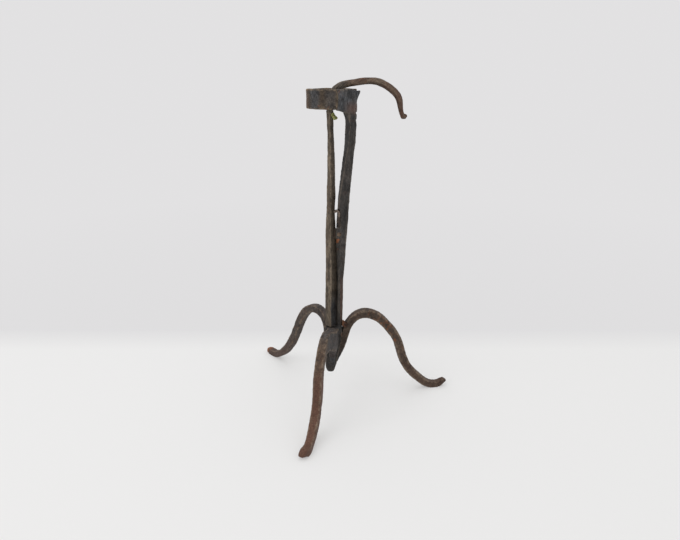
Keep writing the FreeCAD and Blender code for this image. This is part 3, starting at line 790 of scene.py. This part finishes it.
def paint_post(places, out):
    """Blue-grey on the plate, reddish at its lower right, and painted shade in the groove beside the lever.
    """
    x, _, z = from_stem(places).T
    plate = step(z, 222, 227)
    low_right = plate * step(x, 6, 14) * fade(z, 228, 234)
    hub = fade(z, 62, 70)
    stripe = fade(z, 92, 112) * (1 - hub) * step(x, 4.5, 6)
    # painted shade: the groove between the post and the lever is darkened
    groove = fade(z, 128, 136) * (1 - hub) * fade(x, 3.2, 5.0)
    low = fade(z, 74, 86)
    spots = [share * near(places, spot, radius) for share, spot, radius in POST_RUST]
    return {"cool": 0.35 + 0.65 * plate - 0.5 * low_right - 0.25 * stripe,
            "red": 0.45 * low_right + 0.4 * stripe,
            "rust": np.maximum.reduce(spots),
            "tone": 0.46 + 0.12 * plate - 0.06 * low - 0.04 * hub - 0.30 * groove}


def paint_strap(places, out):
    """Two blue-grey patches in front, scaly rust along the lower edge, and a redder left end, painted lighter
    as a highlight.
    """
    _, angle = round_collar(places)
    angle = angle % 360
    blue = fade(np.abs(angle - 229), 7, 20) + 0.6 * fade(np.abs(angle - 268), 6, 18)
    # painted highlight: the left end, where the light falls, is made lighter; its red tint is the iron's own
    # colour
    lit_left_end = fade(np.abs(angle - 188), 6, 24)
    above_edge = places[:, 2] / MM - STRAP_LOW[2]
    scaly = fade(above_edge, 1, 5) * fade(np.abs(angle - 262), 12, 30)
    return {"cool": 0.85 * blue * (1 - lit_left_end),
            "red": 0.2 * lit_left_end,
            "rust": 0.22 * scaly,
            "tone": 0.5 + 0.34 * lit_left_end}


def paint_lever(places, out):
    """The bar has a painted highlight on its left face and painted shade on its right one; the arm is redder,
    with painted shade on its underside.
    """
    x, _, z = from_stem(places).T
    bar = fade(z, 222, 230)
    # painted light: the bar's left face, towards the key light, is made lighter
    painted_lit_side = bar * step(-out[:, 0], 0.2, 0.8)
    # painted shade on the bar's right face, away from the key light; the same mask brings blue-grey patina
    # low on the bar
    shaded_and_blue_side = bar * step(out[:, 0], 0.1, 0.7)
    low = fade(z, 80, 95)
    arm_root = step(z, 236, 240) * fade(x, 6, 12)
    arm = step(x, 6, 14)
    # painted shade on the arm's underside, where its own shadow falls
    under = arm * step(-(out[:, 2] + 0.6 * out[:, 0]), -0.1, 0.7)
    falling = step(x, 30, 38)
    # painted shade, deepest in the groove between the bar's right face and the post, below the pivot
    groove = shaded_and_blue_side * fade(z, 122, 134)
    return {"cool": 0.9 * shaded_and_blue_side * low + 0.45 * arm_root * step(-out[:, 1], 0.2, 0.8),
            "red": 0.42 * arm + 0.25 * falling,
            "rust": 0.10 * arm,
            "tone": 0.52 + 0.14 * painted_lit_side * (1 - low) - 0.10 * shaded_and_blue_side - 0.07 * low - 0.13 * arm_root
            - 0.15 * under - 0.08 * falling - 0.08 * groove - 0.02 * arm}


def paint_spring(places, out):
    """Painted shade at the foot, where it sits between the bars."""
    return {"tone": 0.16 + 0.34 * step(places[:, 2] / MM, 149.5, 153.5)}


def paint_lump(places, out):
    """Bright rust on the front of the lump; painted shade darkens the rest of it, in the crotch around it."""
    low, _ = box_mm("leg_rivet")
    return {"tone": 0.10 + 0.36 * step(low[1] + 2.6 - places[:, 1] / MM, 0, 1.4)}


def leg_painter(node, red_low, red_top, red, foot_rust, arch_rust, root_cool=0.0, crotch_shade=0.05, grey=0.0):
    """Reddish below a height, browner or greyer above it, with rust on the foot and a cooler root. Painted
    shade darkens the crotch at the root, and painted light brightens the faces that look up and the ledge
    above the root.
    """
    along, _, reach = leg_axes(node)

    def paint(places, out):
        place = from_stem(places)
        distance, height = place[:, :2] @ along, place[:, 2]
        low = fade(height, red_low, red_top)
        root = root_cool * fade(distance, 22, 40) * step(height, 26, 36)
        # painted shade in the crotch between the leg and the post
        crotch = fade(distance, 13, 24) * fade(height, 62, 70)
        tongue = fade(height, 36, 46) * fade(distance, 8, 13)
        # painted light on the faces that look up
        up = step(out[:, 2], 0.1, 0.8)
        crest = hump(distance / reach, 0.2, 0.3, 0.5, 0.65)
        # painted highlight on the top of the ledge above the root
        ledge = step(height, 59, 61) * fade(distance, 9, 13) * up * (root_cool > 0)
        rust = np.maximum(foot_rust * step(distance / reach, 0.90, 0.99), arch_rust * crest)
        return {"red": (0.1 + red * low) * (1 - np.maximum(root, tongue)),
                "rust": rust,
                "cool": np.maximum.reduce([root, tongue, grey * (1 - rust)]),
                "tone": 0.47 + 0.07 * up - 0.16 * tongue - crotch_shade * crotch + 0.12 * ledge
                - 0.10 * grey}

    return paint


# ---------------------------------------------------------------- the pieces

materials = {name: iron(name, **look) for name, look in IRONS.items()}
materials["tallow"] = old_tallow()

build_camera()
build_floor()
build_light()

shape_iron("post_iron", "post", materials["post_iron"], seed=2,
           reshape=shape_post, soften=soften_post, paint=paint_post, grain=along_bar)
shape_iron("collar_strap_iron", "collar_strap", materials["strap_iron"], seed=3, cell=0.36,
           reshape=bow_seam, paint=paint_strap)
shape_iron("lever_iron", "lever", materials["lever_iron"], seed=4, cell=0.36, dent=0.7,
           reshape=shape_lever, paint=paint_lever, grain=along_lever)

shape_iron("leg_front_iron", "leg_front", materials["leg_iron"], seed=5,
           reshape=leg_shaper("leg_front", slim=-0.25, toe_slim=-0.05, toe_narrow=0.12, toe_bend=-3.0,
                              toe_rise=-0.3, toe_long=1.4, toe_turn=0.5, toe_up=0.5, root=wide_root),
           soften=soft_toe("leg_front", root_low=36),
           paint=leg_painter("leg_front", red_low=38, red_top=54, red=0.7, foot_rust=0.05, arch_rust=0.05,
                             root_cool=0.8, crotch_shade=0.02))
shape_iron("leg_left_iron", "leg_left", materials["leg_iron"], seed=6,
           reshape=leg_shaper("leg_left", slim=-0.15, toe_slim=0.25, toe_narrow=0.1, toe_rise=-2.4,
                              toe_long=1.8, toe_up=0.5),
           soften=soft_toe("leg_left"),
           paint=leg_painter("leg_left", red_low=10, red_top=40, red=0.3, foot_rust=1.0, arch_rust=0.2,
                             root_cool=0.4, grey=0.6))
shape_iron("leg_right_iron", "leg_right", materials["leg_iron"], seed=7,
           reshape=leg_shaper("leg_right", slim=-0.40, toe_slim=0.45, toe_narrow=0.1, toe_rise=2.2,
                              toe_long=1.2, toe_up=0.3, root=tapering_root),
           soften=soft_toe("leg_right", root_low=29),
           paint=leg_painter("leg_right", red_low=20, red_top=50, red=0.15, foot_rust=0.06, arch_rust=0.22,
                             crotch_shade=0.16, grey=0.15))

shape_iron("pivot_rivet_iron", "pivot_rivet", materials["highlit_worn_head_iron"], seed=9, cell=0.16,
           rounds=3, dent=0.5, grow=0.05)
shape_iron("leg_rivet_iron", "leg_rivet", materials["rusty_iron"], seed=10, cell=0.2, rounds=4,
           dent=1.6, grow=0.05, reshape=lumpy_head, paint=paint_lump)
shape_iron("spring_rivet_iron", "spring_rivet", materials["highlit_worn_head_iron"], seed=11, cell=0.14,
           rounds=2, dent=0.3, grow=0.0)
shape_iron("leaf_spring_iron", "leaf_spring", materials["spring_iron"], seed=12, cell=0.16,
           rounds=2, dent=0.3, grow=0.08, reshape=lean_tip, paint=paint_spring)
shape_iron("tallow_drip_lump", "tallow_drip", materials["tallow"], seed=13, cell=0.18, rounds=3,
           grow=0.1, reshape=curl_drip)
